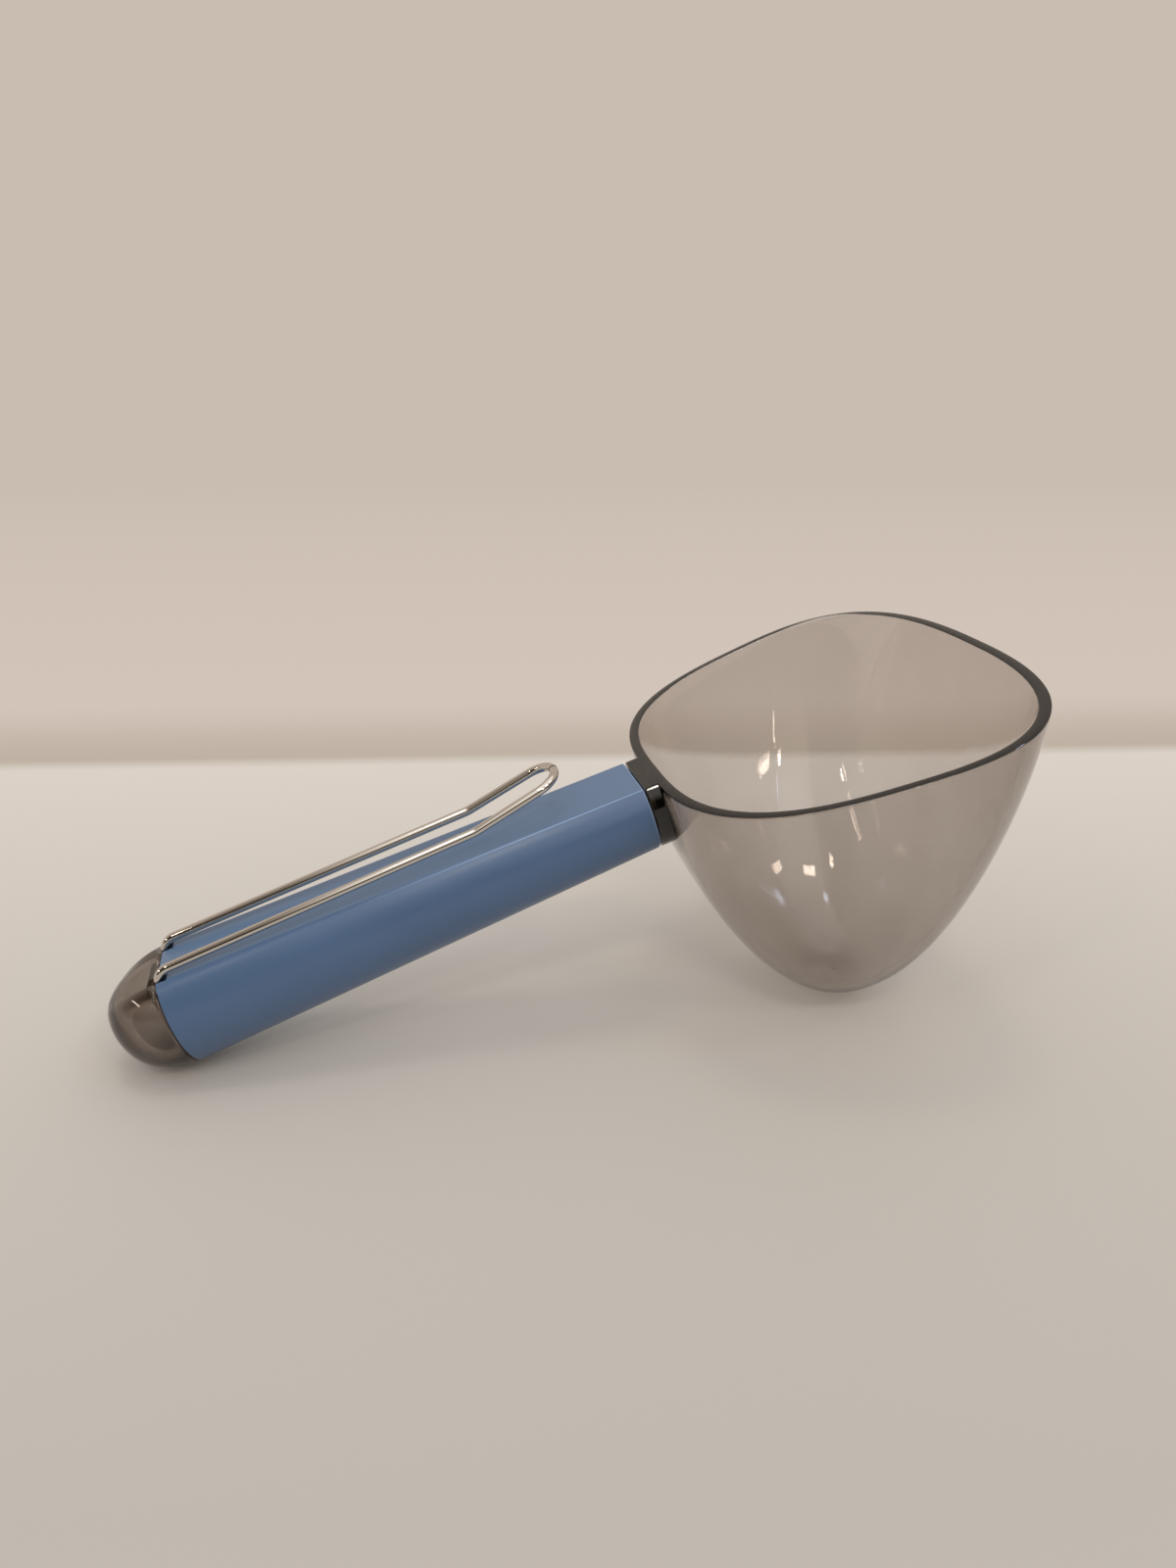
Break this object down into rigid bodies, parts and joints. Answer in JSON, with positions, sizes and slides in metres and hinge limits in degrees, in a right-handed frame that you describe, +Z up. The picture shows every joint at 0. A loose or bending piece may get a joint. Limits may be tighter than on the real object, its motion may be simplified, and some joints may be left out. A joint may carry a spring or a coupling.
{
  "type": "pet food scoop",
  "caption": "Pet food scoop: a clear egg-shaped cup on a tapered, flat-topped tubular handle with a domed end cap and a sprung wire clip for closing a food bag.",
  "frame": {"origin": "on the table, under the middle of the scoop's bounding box as it stands", "axes": "+X along the scoop from the end cap to the cup's lip, +Z up as it stands on a table, +Y across, with the XZ plane as the mirror plane"},
  "size_m": [0.1924, 0.1012, 0.0818],
  "materials": {
    "smoke_plastic": "clear smoke-grey, polished mould finish",
    "blue_plastic": "satin mould finish",
    "spring_steel": "bright drawn stainless spring wire"
  },
  "bodies": {
    "scoop": {"scoop_cup": "smoke_plastic", "handle_sleeve": "blue_plastic", "end_cap": "smoke_plastic"},
    "clip": {"wire_clip": "spring_steel"}
  },
  "joints": [
    {"name": "clip_flex", "type": "hinge", "parent": "scoop", "child": "clip", "pos_m": [-0.08294, 0, 0.01777], "axis": [0, -1, 0], "range_deg": [-2, 8], "stiffness_Nm_per_rad": 9.8}
  ]
}
